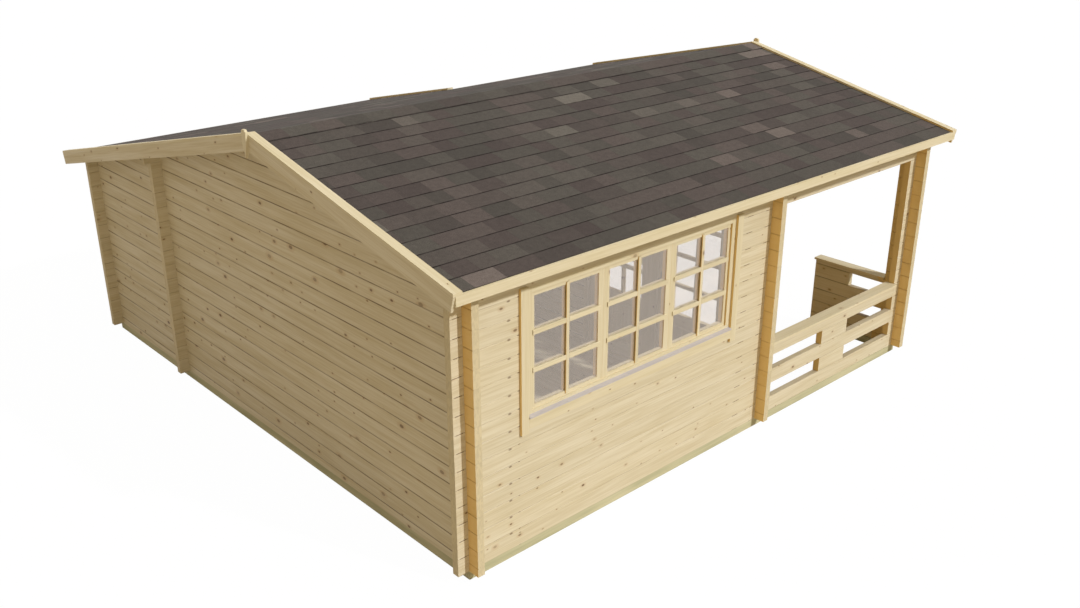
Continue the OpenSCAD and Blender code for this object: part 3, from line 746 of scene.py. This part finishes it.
def leaf_bars(piece, lo, hi, glass_lo, glass_hi):
    """Glazing bars on both sides of a leaf's glass"""
    y0, y1 = glass_lo.y, glass_hi.y
    left = (y0 + y1) / 2 - DOOR_BAR / 2
    right = left + DOOR_BAR
    row = (glass_hi.z - glass_lo.z + DOOR_BAR) / DOOR_ROWS
    for xa, xb in ((lo.x + BAR_SINK, glass_lo.x - GLASS_GAP),
                   (glass_hi.x + GLASS_GAP, hi.x - BAR_SINK)):
        piece.box((xa, left, glass_lo.z + JOINT_GAP), (xb, right, glass_hi.z - JOINT_GAP), 2)
        for r in range(1, DOOR_ROWS):
            top = glass_lo.z + r * row
            for a, b in ((y0 + JOINT_GAP, left - JOINT_GAP), (right + JOINT_GAP, y1 - JOINT_GAP)):
                piece.box((xa, a, top - DOOR_BAR), (xb, b, top), 1)


def door_leaf(leaf, seed):
    """Stiles, rails, glazing bars and a boarded lower panel of one leaf"""
    lo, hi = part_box("door_leaf_" + leaf)
    glass_lo, glass_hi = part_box("door_glass_" + leaf)
    piece = Piece("door_joinery_" + leaf, seed)
    y0, y1 = glass_lo.y, glass_hi.y
    piece.box(lo, (hi.x, y0 - JOINT_GAP, hi.z), 2)
    piece.box((lo.x, y1 + JOINT_GAP, lo.z), hi, 2)
    lock_z = glass_lo.z - LOCK_RAIL
    foot_z = lo.z + FOOT_RAIL
    for z0, z1 in ((glass_hi.z, hi.z), (lock_z, glass_lo.z), (lo.z, foot_z)):
        piece.box((lo.x, y0, z0), (hi.x, y1, z1), 1)
    leaf_panel(piece, lo, hi, y0, y1, foot_z + JOINT_GAP, lock_z - JOINT_GAP)
    leaf_bars(piece, lo, hi, glass_lo, glass_hi)
    return piece.finish("leaf_" + leaf, [TRIM_BOARD, END_GRAIN], ["door_leaf_" + leaf])


# ---- The cabin's materials and pieces ----------------------------------------------

X_LOGS = ("front_wall_lower", "front_wall_left", "front_wall_right", "front_wall_top",
          "cross_beam", "cross_stubs", "back_wall", "post_logs_x",
          "porch_rail_front", "porch_rail_back")
Y_LOGS = ("left_gable_wall", "partition_front", "partition_back", "partition_top",
          "porch_gable", "post_logs_y", "end_rails")
METAL = ("door_handle", "hinges_frame", "hinges_a", "hinges_b")
GLASS = ("window_glass", "door_glass_a", "door_glass_b")


def dress(material, *names):
    """Puts a material in every slot of these CAD nodes"""
    for name in names:
        for material_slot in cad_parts[name].material_slots:
            material_slot.material = material


def sash_rails(n, place):
    """1 on the sashes' rails, between the stiles of each sash"""
    pitch = (SASH_HI.x - SASH_LO.x) / SASHES
    stile = PANE_LO.x - SASH_LO.x
    along = n.math("WRAP", n.math("SUBTRACT", place[0], SASH_LO.x), pitch, 0.0)
    return between(0, stile, pitch - stile)(n, [along])


def dress_frame():
    dress(log_wood("logs_x", 0, BASE_Z, 0.0045, 0.25, [KNOT_COLUMN]), *X_LOGS)
    # Seams of the logs along Y are wider and darker: painted shade in their grooves, as on the
    # shaded gable
    dress(log_wood("logs_y", 1, BASE_Z - LOG_H / 2, 0.008, 0.6), *Y_LOGS)
    dress(plank_wood("purlin_pine", PINE, 0), "purlins")
    dress(treated_wood("treated_beam"), "foundation_beams")
    rails_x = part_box("porch_rail_front")[1].x
    dress(plank_wood("handrail_pine", PALE_PINE, 0, 1, between(0, rails_x, rails_x + 1), 3.1),
          "handrails")
    dress(plank_wood("fascia_pine", PALE_PINE, 0, offset=5.3), "fascias")
    dress(verge_wood("barge_pine", PINE, 2.2), "bargeboards")
    dress(verge_wood("cap_pine", PALE_PINE, 7.9), "bargeboard_caps")
    dress(plank_wood("finial_pine", PALE_PINE, 2, offset=1.4), "finials")
    side = PANE_LO.x - SASH_LO.x
    dress(plank_wood("frame_pine", PALE_PINE, 2, 0,
                     between(0, FRAME_LO.x + side, FRAME_HI.x - side), 4.4), "window_frame")
    dress(plank_wood("sash_pine", PALE_PINE, 2, 0, sash_rails, 6.1), "window_sashes")
    dress(plank_wood("window_trim_pine", PALE_PINE, 2, 0,
                     between(0, FRAME_LO.x, FRAME_HI.x), 8.3), "window_trim")
    door_lo, door_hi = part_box("door_leaf_a")[0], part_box("door_leaf_b")[1]
    opening = between(1, door_lo.y, door_hi.y)
    dress(plank_wood("door_frame_pine", PALE_PINE, 2, 1, opening, 2.9), "door_frame", "door_trim")
    dress(painted("sill_paint", srgb(200, 195, 196), srgb(192, 187, 189)), "window_sill")
    dress(brushed_metal("door_metal"), *METAL)
    dress(window_glass("pane_glass"), *GLASS)


ROOF_PINE = board_wood("roof_board_pine", PINE)
FLOOR_PINE = board_wood("floor_board_pine", PINE)
TRIM_BOARD = board_wood("joinery_pine", PALE_PINE)
END_GRAIN = end_grain("board_ends")
FELT = shingle_felt("shingle_felt")


def build_pieces():
    roof_boards("roof_planks_near", "roof_boards_near",
                BOARDS_LO.x, BOARDS_HI.x, BOARDS_LO.y, BOARDS_HI.y, 11)
    roof_boards("roof_planks_far", "roof_boards_far",
                FAR_LO.x, FAR_HI.x, FAR_LO.y, FAR_HI.y, 12)
    roof_boards("roof_planks_bay", "roof_boards_bay",
                BAY_LO.x, BAY_HI.x, BAY_LO.y, BAY_HI.y, 13)
    floor_boards()
    near = Piece("shingle_courses_near", 31)
    shingle_slope(near, BOARDS_LO.x, BOARDS_HI.x, BOARDS_LO.y)
    near.finish("cabin", [FELT], ["shingles_near"])
    far = Piece("shingle_courses_far", 32)
    shingle_slope(far, FAR_LO.x, BAY_HI.x, BAY_HI.y)
    shingle_slope(far, BAY_HI.x, FAR_HI.x, FAR_HI.y)
    far.finish("cabin", [FELT], ["shingles_far"])
    ridge_caps()
    window_bars()
    door_leaf("a", 51)
    door_leaf("b", 52)


# ---- Camera, light and ground ------------------------------------------------------

SUN_FROM = Vector((0.39, -1.0, 0.765))
SUN_POWER = 2.22
TOP_POWER = 0.35                   # wide soft lamp overhead
SKY = (1.0, 0.83, 0.60, 1.0)
SKY_POWER = 0.405


def seen_directly(n_tree):
    """1 for rays that show the surroundings: from the camera, mirrored or through glass"""
    path = n_tree.nodes.new("ShaderNodeLightPath")
    total = path.outputs["Is Camera Ray"]
    for name in ("Is Glossy Ray", "Is Transmission Ray"):
        both = n_tree.nodes.new("ShaderNodeMath")
        both.operation = "MAXIMUM"
        n_tree.links.new(total, both.inputs[0])
        n_tree.links.new(path.outputs[name], both.inputs[1])
        total = both.outputs[0]
    return total


def make_camera():
    data = bpy.data.cameras.new("camera")
    data.sensor_width = 36.0
    data.sensor_fit = "HORIZONTAL"
    data.lens = 35.765
    data.clip_end = 200.0
    camera = bpy.data.objects.new("camera", data)
    camera.location = (-6.428371, -7.608881, 4.575039)
    camera.rotation_euler = Euler((math.radians(67.129), 0.0, math.radians(-42.613)))
    bpy.context.scene.collection.objects.link(camera)
    bpy.context.scene.camera = camera


def make_lamp(name, power, angle, towards):
    """Distant lamp; towards is the way from the object to the lamp"""
    data = bpy.data.lights.new(name, "SUN")
    data.energy = power
    data.angle = math.radians(angle)
    lamp = bpy.data.objects.new(name, data)
    lamp.rotation_euler = (-towards).to_track_quat("-Z", "Y").to_euler()
    bpy.context.scene.collection.objects.link(lamp)


def make_light():
    make_lamp("sun", SUN_POWER, 2.5, SUN_FROM)
    make_lamp("overhead", TOP_POWER, 45.0, Vector((0.0, -0.1, 1.0)))
    world = bpy.data.worlds.new("studio")
    bpy.context.scene.world = world
    world.use_nodes = True
    tree = world.node_tree
    tree.nodes.clear()
    soft = tree.nodes.new("ShaderNodeBackground")
    soft.inputs["Color"].default_value = SKY
    soft.inputs["Strength"].default_value = SKY_POWER
    white = tree.nodes.new("ShaderNodeBackground")
    white.inputs["Color"].default_value = (1.0, 1.0, 1.0, 1.0)
    white.inputs["Strength"].default_value = 1.0
    mixed = tree.nodes.new("ShaderNodeMixShader")
    out = tree.nodes.new("ShaderNodeOutputWorld")
    tree.links.new(seen_directly(tree), mixed.inputs[0])
    tree.links.new(soft.outputs[0], mixed.inputs[1])
    tree.links.new(white.outputs[0], mixed.inputs[2])
    tree.links.new(mixed.outputs[0], out.inputs["Surface"])


def make_ground():
    """White ground that keeps a faint shadow, and a plain pale one for bounced light"""
    n = Nodes("studio_ground")
    glow = n.add("Emission", {"Color": (1.0, 1.0, 1.0, 1.0), "Strength": 0.985})
    thin = n.add("BsdfDiffuse", {"Color": (0.02, 0.0205, 0.0215, 1.0)})
    seen = n.add("AddShader", {0: glow.outputs[0], 1: thin.outputs[0]})
    bounce = n.add("BsdfDiffuse", {"Color": (0.57, 0.50, 0.38, 1.0)})
    out = n.add("MixShader", {0: seen_directly(n.tree), 1: bounce.outputs[0], 2: seen.outputs[0]})
    n.add("OutputMaterial", {"Surface": out.outputs[0]})
    data = bpy.data.meshes.new("ground")
    mesh = bmesh.new()
    half = 60.0
    corners = [mesh.verts.new((x, y, -0.002))
               for x, y in ((-half, -half), (half, -half), (half, half), (-half, half))]
    mesh.faces.new(corners)
    mesh.to_mesh(data)
    mesh.free()
    ground = bpy.data.objects.new("ground", data)
    data.materials.append(n.material)
    bpy.context.scene.collection.objects.link(ground)


bpy.context.scene.view_settings.view_transform = "Standard"
make_camera()
make_light()
make_ground()
dress_frame()
build_pieces()
